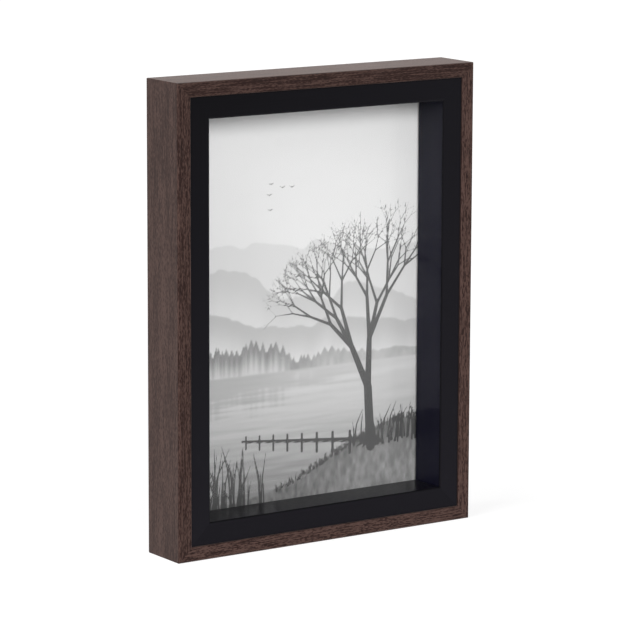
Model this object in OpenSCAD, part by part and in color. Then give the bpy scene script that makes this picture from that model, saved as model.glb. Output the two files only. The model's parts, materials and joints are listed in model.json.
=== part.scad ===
// Box-section picture frame for one standing or hanging print.
// A wood-faced outer moulding holds a black slip set a little below its front.
// The glass, print, card and back panel stack into the rebate behind the slip,
// under four turn buttons. An easel strut folds flat against the back panel.
// Millimetres. X runs to the right seen from the front, Y to the back, Z up.
// The origin is the centre of the bottom face of the moulding.

/* [Picture] */
// Width of the print, the card and the glass
print_w = 127; // [100:1:210]
// Height of the print, the card and the glass
print_h = 178; // [150:1:300]
// How far the slip covers the print on each side
print_cover = 4; // [3:0.5:5]
// Play between the glass and the rebate on each side
rebate_play = 0.4; // [0.2:0.1:0.8]

/* [Moulding] */
// Depth of the moulding from front to back
moulding_d = 25; // [24.5:0.5:32]
// Width of the outer moulding seen from the front
rail_face = 6.3; // [5:0.1:9]
// Width of the black slip seen from the front
slip_face = 9.5; // [9:0.1:14]
// How far the slip sits below the front of the outer moulding
slip_recess = 0.6; // [0.3:0.1:1.5]
// Depth of the sight recess, from the front of the moulding to the glass
sight_d = 18.5; // [15:0.5:18.5]
// Radius of the long outer edges of the moulding
rail_arris_r = 1; // [0.5:0.1:1.5]
// Radius of the slip's inner front edge
slip_arris_r = 0.7; // [0.3:0.1:1]

/* [Stack behind the slip] */
// Thickness of the glass
glass_t = 2; // [1.5:0.1:2]
// Thickness of the print
print_t = 0.3; // [0.2:0.1:0.4]
// Thickness of the back panel
panel_t = 3; // [2.5:0.1:3]
// Gap between the back panel and the back face of the moulding
panel_sunk = 0.1; // [0.1:0.1:0.2]

/* [Turn buttons] */
// Distance of each turn button from the middle of its rail
button_offset = 52; // [40:1:60]
// Reach of a turn button from its screw to its tip
button_reach = 13.2; // [11:0.1:14]
// Thickness of a turn button
button_t = 0.8; // [0.6:0.1:1]

/* [Easel strut] */
// Height of the strut's hinge above the bottom of the frame
hinge_z = 130; // [120:1:145]
// Width of the strut at its hinge
strut_top_w = 38; // [34:1:44]
// Width of the strut at its foot
strut_foot_w = 56; // [46:1:66]
// Thickness of the strut board
strut_t = 2.2; // [2:0.1:2.2]
// Angle to which the strut opens
strut_open = 25; // [20:1:28]

/* [Hangers] */
// Length of a sawtooth hanger
hanger_l = 44; // [40:1:50]
// Teeth of a sawtooth hanger
hanger_teeth = 9; // [5:2:11]

/* [Hidden] */
$fn = 64;

cut = 1; // overshoot of a cutting solid past the face it cuts

// The rebate is the print plus its play, and the moulding's back foot stands round it.
rebate_w = print_w + 2 * rebate_play;
rebate_h = print_h + 2 * rebate_play;
opening_w = print_w - 2 * print_cover;
opening_h = print_h - 2 * print_cover;
frame_w = opening_w + 2 * (rail_face + slip_face);
frame_h = opening_h + 2 * (rail_face + slip_face);
foot_w = (frame_w - rebate_w) / 2;

front_y = -moulding_d / 2;
back_y = moulding_d / 2;
glass_y = front_y + sight_d;
print_y = glass_y + glass_t;
card_y = print_y + print_t;
panel_back_y = back_y - panel_sunk;
panel_y = panel_back_y - panel_t;
card_t = panel_y - card_y;
slip_outer_arris_r = 0.3;
rail_inner_arris_r = 0.5;

// Turn buttons: plain teardrop stampings on pan-head screws.
button_gap = 0.05;
button_head_r = 4.5;
button_tip_r = 2.7;
button_bore_r = 1.32;
button_y = back_y + button_gap;
button_in = foot_w / 2; // distance of the screw from the outer edge of the moulding
screw_r = 1.25;
screw_head_r = 2.4;
screw_head_h = 1.5;
screw_l = 4.4; // full shank in the wood, above its point
screw_tip_l = 1.6;

// Sawtooth hangers: a strip bridged off the wood, with the teeth on its inner edge.
hanger_w = 8;
hanger_t = 0.6;
hanger_lift = 1.8;
hanger_ear = 8;
hanger_ramp = 2;
tooth_pitch = 2.4;
tooth_d = 1.5;
nail_r = 0.7;
nail_hole_r = 0.8;
nail_head_r = 1.7;
nail_head_h = 0.5;
nail_l = 4.6; // full shank in the wood, above its point
nail_tip_l = 1.4;
hanger_in = foot_w / 2; // distance of the hanger's middle from the outer edge

// Corner wedges: two chevrons of thin steel driven across each mitre from the back.
wedge_leg = 4;
wedge_t = 0.45;
wedge_h = 6;
wedge_sunk = 0.1;
wedge_along = [4.2, 8.6]; // distance of each chevron's point from the outer edges

// Hinge of the strut: five knuckles on one pin.
hinge_w = 24;
hinge_n = 5;
leaf_t = 0.65;
knuckle_r = 1.6;
hinge_bore_r = 0.95;
hinge_pin_r = 0.9;
knuckle_gap = 0.2; // between knuckles of the two leaves, and round them
knuckle_lift = 0.25; // between the knuckles and the back panel
leaf_l = 14;
leaf_corner_r = 2;
pin_y = panel_back_y + knuckle_lift + knuckle_r;
strut_y = pin_y + knuckle_r - leaf_t - strut_t;
rivet_r = 1.2;
rivet_head_r = 2.3;
rivet_head_h = 0.7;
rivet_tail_r = 2;
rivet_tail_h = 0.4;
rivet_play = 0.05; // round a rivet's shank and its tail
rivet_x = 7.5;
rivet_z = 9;

// The strut stands clear of the floor when folded. Its shoulders rise past the pin
// by the amount that brings them onto the back panel at the open angle.
strut_foot_z = 2.5;
strut_corner_r = 3;
strut_stop_gap = 0.1;
strut_inner_dy = pin_y - strut_y;
pin_dy = pin_y - panel_back_y;
shoulder_h = (pin_dy - strut_stop_gap - strut_inner_dy * cos(strut_open)) / sin(strut_open);
foot_arch_r = 18;
foot_arch_rise = 3;

// Colours of the plain model
wood_colour = [0.27, 0.20, 0.18];
slip_colour = [0.09, 0.09, 0.10];
paper_colour = [0.80, 0.80, 0.80];
card_colour = [0.58, 0.50, 0.40];
board_colour = [0.13, 0.13, 0.13];
steel_colour = [0.66, 0.67, 0.69];
brass_colour = [0.72, 0.60, 0.36];
glass_colour = [0.80, 0.90, 0.90, 0.35];

// ---------- shapes that several pieces use ----------

// The waste outside a rounded corner at the origin, with the solid in the +X +Y quarter
module corner_waste(r) {
    difference() {
        translate([-cut, -cut]) square(r + cut);
        translate([r, r]) circle(r);
    }
}

// A convex outline, counter-clockwise, grown by r with true round corners
module rounded_outline(points, r) {
    last = len(points) - 1;
    sides = [for (i = [0:last]) let (
        a = points[i],
        b = points[i == last ? 0 : i + 1],
        outward = [b[1] - a[1], a[0] - b[0]] / norm(b - a) * r
    ) each [a + outward, b + outward]];
    polygon(sides);
    for (p = points) translate(p) circle(r);
}

// A rectangle centred on the origin with true round corners
module rounded_rectangle(w, h, r) {
    x = w / 2 - r;
    y = h / 2 - r;
    rounded_outline([[-x, -y], [x, -y], [x, y], [-x, y]], r);
}

// A bar of overall length l and width w with half-round ends, along X and centred
module stadium(l, w) {
    square([l - w, w], center = true);
    for (side = [-1, 1]) translate([side * (l - w) / 2, 0]) circle(w / 2);
}

// Two discs joined by their common tangents, the large one at the origin
module teardrop_outline(head_r, tip_r, distance) {
    lean = acos((head_r - tip_r) / distance);
    touch = [cos(lean), sin(lean)];
    circle(head_r);
    translate([distance, 0]) circle(tip_r);
    polygon([
        head_r * [touch[0], -touch[1]],
        [distance, 0] + tip_r * [touch[0], -touch[1]],
        [distance, 0] + tip_r * touch,
        head_r * touch
    ]);
}

// A plate drawn in X and Z, standing on the plane y and growing towards the back
module plate(y, t) {
    translate([0, y + t, 0]) rotate([90, 0, 0]) linear_extrude(t) children();
}

// A round solid whose foot is on the plane y at x and z, with its axis towards the back
module on_back(x, y, z) {
    translate([x, y, z]) rotate([-90, 0, 0]) children();
}

// A low domed head of radius r and height h
module domed_head(r, h) {
    ball_r = (r * r + h * h) / (2 * h);
    rotate_extrude() intersection() {
        translate([0, h - ball_r]) circle(ball_r);
        square([r + cut, h + cut]);
    }
}

// ---------- moulding ----------

// One mitred length of a profile: X along it, Y to the back, Z inwards from its outer edge
module mitred_length(length, reach) {
    intersection() {
        rotate([0, -90, 0]) linear_extrude(length, center = true) children();
        plate(front_y - cut, moulding_d + 2 * cut) polygon([
            [-length / 2, 0], [length / 2, 0],
            [length / 2 - reach, reach], [-length / 2 + reach, reach]
        ]);
    }
}

// Turns a bottom length to one of the four sides
module to_side(side) {
    if (side == "bottom") children();
    if (side == "top") translate([0, 0, frame_h]) rotate([0, 180, 0]) children();
    if (side == "left") translate([-frame_w / 2, 0, frame_h / 2]) rotate([0, 90, 0]) children();
    if (side == "right") translate([frame_w / 2, 0, frame_h / 2]) rotate([0, -90, 0]) children();
}

function side_length(side) = side == "top" || side == "bottom" ? frame_w : frame_h;

// L-section of the outer moulding: a thin wall in front and a wide foot round the rebate
module outer_profile() {
    difference() {
        union() {
            translate([0, front_y]) square([rail_face, moulding_d]);
            translate([0, glass_y]) square([foot_w, moulding_d - sight_d]);
        }
        translate([0, front_y]) corner_waste(rail_arris_r);
        translate([0, back_y]) mirror([0, 1]) corner_waste(rail_arris_r);
        translate([rail_face, front_y]) mirror([1, 0]) corner_waste(rail_inner_arris_r);
    }
}

// The slip: a plain stick with a softened sight edge, glued into the outer moulding
module slip_profile() {
    difference() {
        translate([rail_face, front_y + slip_recess]) square([slip_face, sight_d - slip_recess]);
        translate([rail_face, front_y + slip_recess]) corner_waste(slip_outer_arris_r);
        translate([rail_face + slip_face, front_y + slip_recess])
            mirror([1, 0]) corner_waste(slip_arris_r);
    }
}

module outer_rail(side) {
    color(wood_colour) difference() {
        to_side(side) mitred_length(side_length(side), foot_w) outer_profile();
        chevrons(wedge_h + cut);
        screw_shanks();
        nail_shanks();
    }
}

module slip(side) {
    color(slip_colour)
        to_side(side) mitred_length(side_length(side), rail_face + slip_face) slip_profile();
}

// One chevron in plan, its point towards the outer corner at the origin
module wedge_outline() {
    for (turn = [0, 1]) mirror(turn * [1, -1]) polygon([
        [0, 0], [wedge_leg, 0], [wedge_leg, wedge_t], [wedge_t, wedge_t]
    ]);
}

// Chevrons of height h at all four corners, rising from their depth in the wood
module chevrons(h) {
    for (right = [0, 1]) for (top = [0, 1]) for (along = wedge_along)
        translate([0, 0, top * frame_h]) mirror([0, 0, top]) mirror([right, 0, 0])
            plate(back_y - wedge_h, h)
                translate([along - frame_w / 2, along]) wedge_outline();
}

module corner_wedges() {
    color(steel_colour) chevrons(wedge_h - wedge_sunk);
}

// ---------- stack in the rebate ----------

module pane_outline() {
    translate([0, frame_h / 2]) square([print_w, print_h], center = true);
}

// The glass has its sharp edges taken off
module glass_pane() {
    arris = 0.3;
    color(glass_colour) intersection() {
        plate(glass_y, glass_t) pane_outline();
        for (turn = [0, 1]) translate([0, glass_y + glass_t / 2, frame_h / 2]) rotate([0, turn * 90, 0])
            bevelled_block(turn == 0 ? print_w : print_h, glass_t, print_w + print_h, arris);
    }
}

// A block with its four long edges bevelled, centred, along Z
module bevelled_block(w, t, length, bevel) {
    x = w / 2;
    y = t / 2;
    linear_extrude(length, center = true) polygon([
        [-x + bevel, -y], [x - bevel, -y], [x, -y + bevel], [x, y - bevel],
        [x - bevel, y], [-x + bevel, y], [-x, y - bevel], [-x, -y + bevel]
    ]);
}

module photo_print() {
    color(paper_colour) plate(print_y, print_t) pane_outline();
}

module backing_card() {
    color(card_colour) plate(card_y, card_t) pane_outline();
}

module back_panel() {
    color(board_colour) difference() {
        plate(panel_y, panel_t) pane_outline();
        rivet_holes(panel_y, hinge_z + rivet_z);
    }
}

// ---------- turn buttons ----------

module at_button(right, top) {
    x = frame_w / 2 - button_in;
    z = frame_h / 2 + (top ? button_offset : -button_offset);
    translate([right ? x : -x, 0, z]) rotate([0, right ? 180 : 0, 0]) children();
}

// The rib pressed along the middle stiffens the stamping and gives a thumb some hold
module turn_button(right, top) {
    rib_h = 0.35;
    rib_w = 1.6;
    rib_from = 4.2;
    rib_to = button_reach - button_tip_r;
    color(steel_colour) at_button(right, top) difference() {
        union() {
            plate(button_y, button_t)
                teardrop_outline(button_head_r, button_tip_r, button_reach - button_tip_r);
            plate(button_y, button_t + rib_h) translate([(rib_from + rib_to) / 2, 0])
                stadium(rib_to - rib_from + rib_w, rib_w);
        }
        on_back(0, button_y - cut, 0) cylinder(h = button_t + 2 * cut, r = button_bore_r);
    }
}

module screw_shank() {
    on_back(0, back_y - screw_l, 0) {
        translate([0, 0, -screw_tip_l]) cylinder(h = screw_tip_l, r1 = 0, r2 = screw_r);
        cylinder(h = screw_l + button_t + 2 * button_gap, r = screw_r);
    }
}

module screw_shanks() {
    for (right = [0, 1]) for (top = [0, 1]) at_button(right, top) screw_shank();
}

// Pan-head screws with a cross recess
module turn_button_screws() {
    recess_l = 2.6;
    recess_w = 0.6;
    recess_d = 0.9;
    head_y = button_y + button_t + button_gap;
    color(brass_colour) for (right = [0, 1]) for (top = [0, 1]) at_button(right, top) difference() {
        union() {
            screw_shank();
            on_back(0, head_y, 0) domed_head(screw_head_r, screw_head_h);
        }
        for (turn = [0, 90]) translate([0, head_y + screw_head_h, 0]) rotate([0, turn, 0])
            cube([recess_l, 2 * recess_d, recess_w], center = true);
    }
}

// ---------- sawtooth hangers ----------

// Places a hanger on the back of the top rail, or of the right rail for a wide picture
module at_hanger(landscape) {
    x = landscape ? frame_w / 2 - hanger_in : 0;
    z = landscape ? frame_h / 2 : frame_h - hanger_in;
    translate([x, back_y, z]) rotate([0, landscape ? 90 : 0, 0]) children();
}

// Strip seen from above: flat ears, ramps and a raised bridge
module hanger_strip() {
    end = hanger_l / 2;
    ear = end - hanger_ear;
    bridge = ear - hanger_ramp;
    under = [
        [-end, 0], [-ear, 0], [-bridge, hanger_lift],
        [bridge, hanger_lift], [ear, 0], [end, 0]
    ];
    over = [for (i = [len(under) - 1:-1:0]) under[i] + [0, hanger_t]];
    polygon(concat(under, over));
}

module hanger(landscape) {
    nail_x = hanger_l / 2 - hanger_ear / 2;
    color(steel_colour) at_hanger(landscape) difference() {
        intersection() {
            linear_extrude(hanger_w, center = true) hanger_strip();
            plate(-cut, hanger_lift + hanger_t + 2 * cut)
                stadium(hanger_l, hanger_w);
        }
        for (i = [0:hanger_teeth - 1])
            plate(hanger_lift / 2, hanger_lift + hanger_t)
                translate([(i - (hanger_teeth - 1) / 2) * tooth_pitch, -hanger_w / 2])
                    polygon([[-tooth_pitch / 2, -cut], [tooth_pitch / 2, -cut],
                             [tooth_pitch / 2, 0], [0, tooth_d], [-tooth_pitch / 2, 0]]);
        for (side = [-1, 1]) on_back(side * nail_x, -cut, 0)
            cylinder(h = hanger_t + 2 * cut, r = nail_hole_r);
    }
}

module nail_shank() {
    on_back(0, -nail_l, 0) {
        translate([0, 0, -nail_tip_l]) cylinder(h = nail_tip_l, r1 = 0, r2 = nail_r);
        cylinder(h = nail_l + hanger_t, r = nail_r);
    }
}

module at_nails() {
    nail_x = hanger_l / 2 - hanger_ear / 2;
    for (landscape = [0, 1]) for (side = [-1, 1])
        at_hanger(landscape) translate([side * nail_x, 0, 0]) children();
}

module nail_shanks() {
    at_nails() nail_shank();
}

module hanger_nails() {
    color(brass_colour) at_nails() {
        nail_shank();
        on_back(0, hanger_t, 0) domed_head(nail_head_r, nail_head_h);
    }
}

// ---------- easel strut and its hinge ----------

function knuckle_x(i) = -hinge_w / 2 + (i + 0.5) * hinge_w / hinge_n;

// Knuckles of one leaf: the even ones belong to the fixed leaf and the odd ones to the strut
module knuckles(first, r, l) {
    for (i = [first:2:hinge_n - 1])
        translate([knuckle_x(i), pin_y, hinge_z]) rotate([0, 90, 0])
            cylinder(h = l, r = r, center = true);
}

// The room that the other leaf's knuckles turn in
module knuckle_room(first) {
    l = hinge_w / hinge_n + knuckle_gap;
    r = knuckle_r + knuckle_gap;
    for (i = [first:2:hinge_n - 1])
        translate([knuckle_x(i), pin_y, hinge_z]) cube([l, 2 * r + cut, 2 * r], center = true);
}

// Flat of a leaf above the line of the pin, square at the pin and rounded at its far corners
module leaf_outline() {
    translate([0, leaf_l / 2]) rounded_rectangle(hinge_w, leaf_l, leaf_corner_r);
    translate([0, leaf_l / 4]) square([hinge_w, leaf_l / 2], center = true);
}

// A leaf with its flat on the plane y, reaching up (1) or down (-1) from the pin
module hinge_leaf(first, y, up) {
    color(steel_colour) difference() {
        union() {
            difference() {
                plate(y, leaf_t) translate([0, hinge_z])
                    mirror([0, up < 0 ? 1 : 0]) leaf_outline();
                knuckle_room(1 - first);
            }
            knuckles(first, knuckle_r, hinge_w / hinge_n - knuckle_gap);
        }
        translate([0, pin_y, hinge_z]) rotate([0, 90, 0])
            cylinder(h = hinge_w + cut, r = hinge_bore_r, center = true);
        for (side = [-1, 1]) on_back(side * rivet_x, y - cut, hinge_z + up * rivet_z)
            cylinder(h = leaf_t + 2 * cut, r = rivet_r + rivet_play);
    }
}

// Pin with a slightly spread end outside the last knuckle on each side
module hinge_pin() {
    end_l = 0.5;
    end_spread = 0.3;
    color(brass_colour) translate([0, pin_y, hinge_z]) rotate([0, 90, 0]) {
        cylinder(h = hinge_w + 2 * end_l, r = hinge_pin_r, center = true);
        for (side = [-1, 1]) translate([0, 0, side * (hinge_w + end_l) / 2])
            cylinder(h = end_l, r = hinge_pin_r + end_spread, center = true);
    }
}

// Holes through a board for a pair of rivets, opened out for their tails on its inner face
module rivet_holes(inner_y, z) {
    for (side = [-1, 1]) {
        on_back(side * rivet_x, inner_y - cut, z)
            cylinder(h = panel_t + 2 * cut, r = rivet_r + rivet_play);
        on_back(side * rivet_x, inner_y - cut, z)
            cylinder(h = cut + rivet_tail_h, r = rivet_tail_r + rivet_play);
    }
}

// A pair of rivets from the inner face of a board to the outer face of a leaf
module rivets(inner_y, outer_y, z) {
    color(brass_colour) for (side = [-1, 1]) {
        on_back(side * rivet_x, inner_y, z) cylinder(h = rivet_tail_h, r = rivet_tail_r);
        on_back(side * rivet_x, inner_y, z) cylinder(h = outer_y - inner_y, r = rivet_r);
        on_back(side * rivet_x, outer_y, z) domed_head(rivet_head_r, rivet_head_h);
    }
}

// Tapered board whose shoulders reach past the pin and stop it when it opens
module easel_strut() {
    top_x = strut_top_w / 2 - strut_corner_r;
    foot_x = strut_foot_w / 2 - strut_corner_r;
    top_z = hinge_z + shoulder_h - strut_corner_r;
    foot_z = strut_foot_z + strut_corner_r;
    pocket_d = knuckle_r + 2 * knuckle_gap;
    pocket_side = 1; // clearance beside the hinge
    color(board_colour) difference() {
        plate(strut_y, strut_t) difference() {
            rounded_outline([[-foot_x, foot_z], [foot_x, foot_z], [top_x, top_z], [-top_x, top_z]],
                strut_corner_r);
            translate([0, strut_foot_z + foot_arch_rise - foot_arch_r]) circle(foot_arch_r);
            translate([-hinge_w / 2 - pocket_side, hinge_z - pocket_d])
                square([hinge_w + 2 * pocket_side, pocket_d + shoulder_h + cut]);
        }
        rivet_holes(strut_y, hinge_z - rivet_z);
    }
}

outer_rail("top");  // outer_rail_top
outer_rail("bottom");  // outer_rail_bottom
outer_rail("left");  // outer_rail_left
outer_rail("right");  // outer_rail_right
slip("top");  // slip_top
slip("bottom");  // slip_bottom
slip("left");  // slip_left
slip("right");  // slip_right
corner_wedges();
glass_pane();
photo_print();
backing_card();
back_panel();
turn_button(false, true);  // turn_button_top_left
turn_button(true, true);  // turn_button_top_right
turn_button(false, false);  // turn_button_bottom_left
turn_button(true, false);  // turn_button_bottom_right
turn_button_screws();
hanger(false);  // hanger_portrait
hanger(true);  // hanger_landscape
hanger_nails();
hinge_leaf(0, panel_back_y, 1);  // hinge_leaf_fixed
hinge_pin();
rivets(panel_y, panel_back_y + leaf_t, hinge_z + rivet_z);  // panel_rivets
easel_strut();
hinge_leaf(1, strut_y + strut_t, -1);  // hinge_leaf_strut
rivets(strut_y, strut_y + strut_t + leaf_t, hinge_z - rivet_z);  // strut_rivets
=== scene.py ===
"""Box picture frame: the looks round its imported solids.

A wood-wrapped moulding and its black slip are profiles carried round four mitred sides.
The print, the turn buttons and the floor are surfaces worked out on grids. The glass, card,
boards and the rest of the hardware keep their solids and get their finishes here.
Lengths are metres, X runs right seen from the front, Y to the back and Z up.
"""

import json
import math
import bpy
import numpy as np
from mathutils import Matrix, Vector


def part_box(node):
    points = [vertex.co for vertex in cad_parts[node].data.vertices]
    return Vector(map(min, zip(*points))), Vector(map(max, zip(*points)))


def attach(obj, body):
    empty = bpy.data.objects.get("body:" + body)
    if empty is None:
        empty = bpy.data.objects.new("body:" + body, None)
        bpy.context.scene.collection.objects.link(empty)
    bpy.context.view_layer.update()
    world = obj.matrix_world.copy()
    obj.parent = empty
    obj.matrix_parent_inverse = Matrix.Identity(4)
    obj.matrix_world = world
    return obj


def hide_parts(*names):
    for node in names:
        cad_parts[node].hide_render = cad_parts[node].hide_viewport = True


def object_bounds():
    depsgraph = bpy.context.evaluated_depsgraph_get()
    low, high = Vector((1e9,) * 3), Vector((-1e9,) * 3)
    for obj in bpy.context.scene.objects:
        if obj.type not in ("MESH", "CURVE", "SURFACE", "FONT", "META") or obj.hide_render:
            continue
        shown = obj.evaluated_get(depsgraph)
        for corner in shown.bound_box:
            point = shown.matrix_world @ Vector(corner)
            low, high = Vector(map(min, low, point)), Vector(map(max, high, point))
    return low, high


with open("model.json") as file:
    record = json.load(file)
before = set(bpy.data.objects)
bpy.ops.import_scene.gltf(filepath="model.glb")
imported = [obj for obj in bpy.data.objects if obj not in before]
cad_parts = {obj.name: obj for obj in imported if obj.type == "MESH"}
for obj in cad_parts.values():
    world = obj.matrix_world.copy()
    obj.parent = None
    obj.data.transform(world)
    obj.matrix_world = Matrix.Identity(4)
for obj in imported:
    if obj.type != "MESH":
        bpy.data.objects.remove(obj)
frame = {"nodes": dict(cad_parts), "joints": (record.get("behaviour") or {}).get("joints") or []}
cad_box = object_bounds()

bl_info = {
    "name": "Box Picture Frame",
    "version": (1, 0, 0),
    "blender": (4, 5, 0),
    "location": "3D View > Sidebar > Picture Frame",
    "description": "Dresses the solids of a box picture frame in wood, lacquer, glass and steel",
    "category": "Add Mesh",
}

MM = 0.001
SIDES = ("bottom", "top", "left", "right")
CORNERS = ("top_left", "top_right", "bottom_left", "bottom_right")


def srgb(red, green, blue):
    """A linear colour from the 0 to 255 values of a screen colour."""
    parts = np.array((red, green, blue)) / 255
    linear = np.where(parts <= 0.04045, parts / 12.92, ((parts + 0.055) / 1.055) ** 2.4)
    return tuple(float(part) for part in linear)


def opaque(colour):
    return (*colour, 1.0)


def tint(colour, share):
    """A share of a colour, none of its parts above 1."""
    return tuple(min(1.0, share * part) for part in colour)


# ---------- sizes that the solids give ----------

RAIL_LOW, RAIL_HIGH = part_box("outer_rail_left")
SLIP_LOW, SLIP_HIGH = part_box("slip_left")
PRINT_LOW, PRINT_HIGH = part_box("photo_print")
PANEL_LOW, PANEL_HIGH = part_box("back_panel")
STRUT_LOW, STRUT_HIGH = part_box("easel_strut")
FRAME_W = -2 * RAIL_LOW[0]
FRAME_H = RAIL_HIGH[2] - RAIL_LOW[2]
FOOT_W = RAIL_HIGH[0] - RAIL_LOW[0]
RAIL_FACE = SLIP_LOW[0] - RAIL_LOW[0]
SLIP_FACE = SLIP_HIGH[0] - SLIP_LOW[0]
FRONT_Y, BACK_Y = RAIL_LOW[1], RAIL_HIGH[1]
SLIP_Y, GLASS_Y = SLIP_LOW[1], SLIP_HIGH[1]


# ---------- settings ----------


def millimetres(name, description, default, least=0.0):
    """A length, its default and least value given in millimetres."""
    return bpy.props.FloatProperty(
        name=name, description=description, default=default * MM, min=least * MM, unit="LENGTH")


def screen_colour(name, description, *screen):
    """A colour, its default given as a screen colour."""
    return bpy.props.FloatVectorProperty(
        name=name, description=description, default=srgb(*screen), size=3, subtype="COLOR",
        min=0.0, max=1.0)


def degrees(name, description, default):
    """An angle, its default given in degrees."""
    return bpy.props.FloatProperty(
        name=name, description=description, default=math.radians(default), subtype="ANGLE")


def number(name, description, default, least, most):
    """A plain number between two limits."""
    return bpy.props.FloatProperty(
        name=name, description=description, default=default, min=least, max=most)


class MouldingSettings(bpy.types.PropertyGroup):
    """Sizes and colours of the outer moulding and the slip."""

    rail_arris: millimetres("Rail Arris", "Radius of the long outer edges of the moulding", 1.0)
    rail_inner_arris: millimetres("Rail Inner Arris", "Radius of the wood's edge beside the slip", 0.5)
    slip_arris: millimetres("Slip Arris", "Radius of the slip's edge at the sight opening", 0.7)
    slip_outer_arris: millimetres("Slip Outer Arris", "Radius of the slip's edge beside the wood", 0.3)
    mitre_groove: millimetres("Mitre Groove", "Depth of the fine groove where two mitres meet", 0.06)
    wrap_lap: millimetres("Wrap Lap", "How far the wood wrap laps onto the back face", 2.2)
    wood_dark: screen_colour("Wood Dark", "Darkest streaks of the wood wrap", 34, 18, 15)
    wood_light: screen_colour("Wood Light", "Lightest fibres of the wood wrap", 71, 53, 48)
    # Also the colour of the painted shade on the wood's inner face beside the slip
    wood_pore_and_shade: screen_colour("Wood Pore", "Open pores of the wood wrap", 24, 11, 10)
    wedge_leg: millimetres("Wedge Leg", "Length of each leg of a corner wedge", 4.0)
    wedge_t: millimetres("Wedge Thickness", "Thickness of a corner wedge's steel", 0.45)
    wedge_outer: millimetres("Outer Wedge", "From the outer edges to the outer wedge's point", 4.2)
    wedge_inner: millimetres("Inner Wedge", "From the outer edges to the inner wedge's point", 8.6)
    raw_fibre: screen_colour("Raw Fibre", "Bare fibreboard on the back of the moulding", 172, 141, 108)
    lacquer: screen_colour("Slip Lacquer", "Colour of the slip's satin lacquer", 16, 15, 19)
    # Its blue tint and lightness are a painted reflection on the sight wall
    wall_lacquer_and_reflection: screen_colour("Wall Lacquer", "Lacquer on the wall of the sight opening", 12, 12, 30)


class PictureSettings(bpy.types.PropertyGroup):
    """The print and the glass over it."""

    spacing: millimetres("Print Spacing", "Between the points of the printed picture", 0.5, 0.4)
    ink_edge: number("Ink Edge", "Softness of the darkest marks' edges, in millimetres", 0.3, 0.05, 1.0)
    glass_ior: number("Glass IOR", "Refractive index of the glass", 1.18, 1.0, 2.0)
    seed: bpy.props.IntProperty(
        name="Picture Seed", description="Seed of the hills, ripples, tree and reeds", default=7)


class BackSettings(bpy.types.PropertyGroup):
    """Boards and hardware at the back."""

    button_head: millimetres("Button Head", "Radius of a turn button round its screw", 4.5)
    button_tip: millimetres("Button Tip", "Radius of a turn button's tip", 2.7)
    button_reach: millimetres("Button Reach", "From the screw to the middle of the tip", 10.5)
    button_t: millimetres("Button Thickness", "Thickness of a turn button's steel", 0.8)
    button_rib: millimetres("Button Rib", "Height of the rib pressed along a turn button", 0.35)
    board: screen_colour("Board Facing", "Black facing of the back panel and the strut", 34, 33, 34)
    board_edge: screen_colour("Board Edge", "Bare brown edge of the boards", 96, 70, 50)
    card: screen_colour("Card", "Grey-brown card behind the print", 150, 132, 108)
    zinc: screen_colour("Zinc", "Plating of the turn buttons, hangers and wedges", 196, 199, 204)
    nickel: screen_colour("Nickel", "Plating of the hinge and its rivets", 192, 187, 176)
    brass: screen_colour("Brass Plate", "Plating of the screws and nails", 214, 180, 110)


class StageSettings(bpy.types.PropertyGroup):
    """Camera, lamps and floor."""

    azimuth: degrees("Azimuth", "Angle of the camera round the frame, left of its front", 34.326)
    elevation: degrees("Elevation", "Angle of the camera above the horizon", 10.307)
    roll: degrees("Roll", "Turn of the camera about its own axis", -0.218)
    distance: millimetres("Distance", "From the camera to the middle of the frame", 1510.0, 100.0)
    focal: number("Focal Length", "Focal length in millimetres on a 36 mm sensor", 200.29, 20.0, 600.0)
    key: number("Key Level", "Level of the soft light from the left", 0.75, 0.0, 3.0)
    fill: number("Front Level", "Level of the soft light from the front", 0.70, 0.0, 3.0)
    daylight: number("Surrounding Light", "Level of the even light from all sides", 0.20, 0.0, 2.0)
    floor_size: millimetres("Floor Size", "Length of a side of the floor", 12000.0, 1000.0)


class PictureFrameSettings(bpy.types.PropertyGroup):
    """Everything a user may change, in four groups."""

    moulding: bpy.props.PointerProperty(type=MouldingSettings)
    picture: bpy.props.PointerProperty(type=PictureSettings)
    back: bpy.props.PointerProperty(type=BackSettings)
    stage: bpy.props.PointerProperty(type=StageSettings)


# ---------- shader maths ----------


def is_wide(value):
    """Whether a socket or a value is a vector or a colour."""
    if isinstance(value, Socket):
        return value.socket.type in ("VECTOR", "RGBA")
    return isinstance(value, (tuple, Vector))


class Socket:
    """An output socket whose + - * and / add Math or Vector Math nodes."""

    def __init__(self, finish, socket):
        self.finish = finish
        self.socket = socket

    def maths(self, operation, *values):
        """Adds the node for an operation on these values, or on this socket alone."""
        values = values or (self,)
        kind = "ShaderNodeVectorMath" if any(map(is_wide, values)) else "ShaderNodeMath"
        places = dict(enumerate(
            (value,) * 3 if kind == "ShaderNodeVectorMath" and isinstance(value, (int, float))
            else value for value in values))
        return self.finish.add(kind, {"operation": operation}, places)

    def __add__(self, other):
        return self.maths("ADD", self, other)

    def __radd__(self, other):
        return self.maths("ADD", other, self)

    def __sub__(self, other):
        return self.maths("SUBTRACT", self, other)

    def __rsub__(self, other):
        return self.maths("SUBTRACT", other, self)

    def __mul__(self, other):
        return self.maths("MULTIPLY", self, other)

    def __rmul__(self, other):
        return self.maths("MULTIPLY", other, self)

    def __truediv__(self, other):
        return self.maths("DIVIDE", self, other)

    def __rtruediv__(self, other):
        return self.maths("DIVIDE", other, self)

    def greatest(self, other):
        return self.maths("MAXIMUM", self, other)

    def between(self, low, high):
        """0 below low, 1 above high and a smooth step from one to the other."""
        return self.finish.add(
            "ShaderNodeMapRange", {"interpolation_type": "SMOOTHSTEP"},
            {"Value": self, "From Min": low, "From Max": high})


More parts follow.
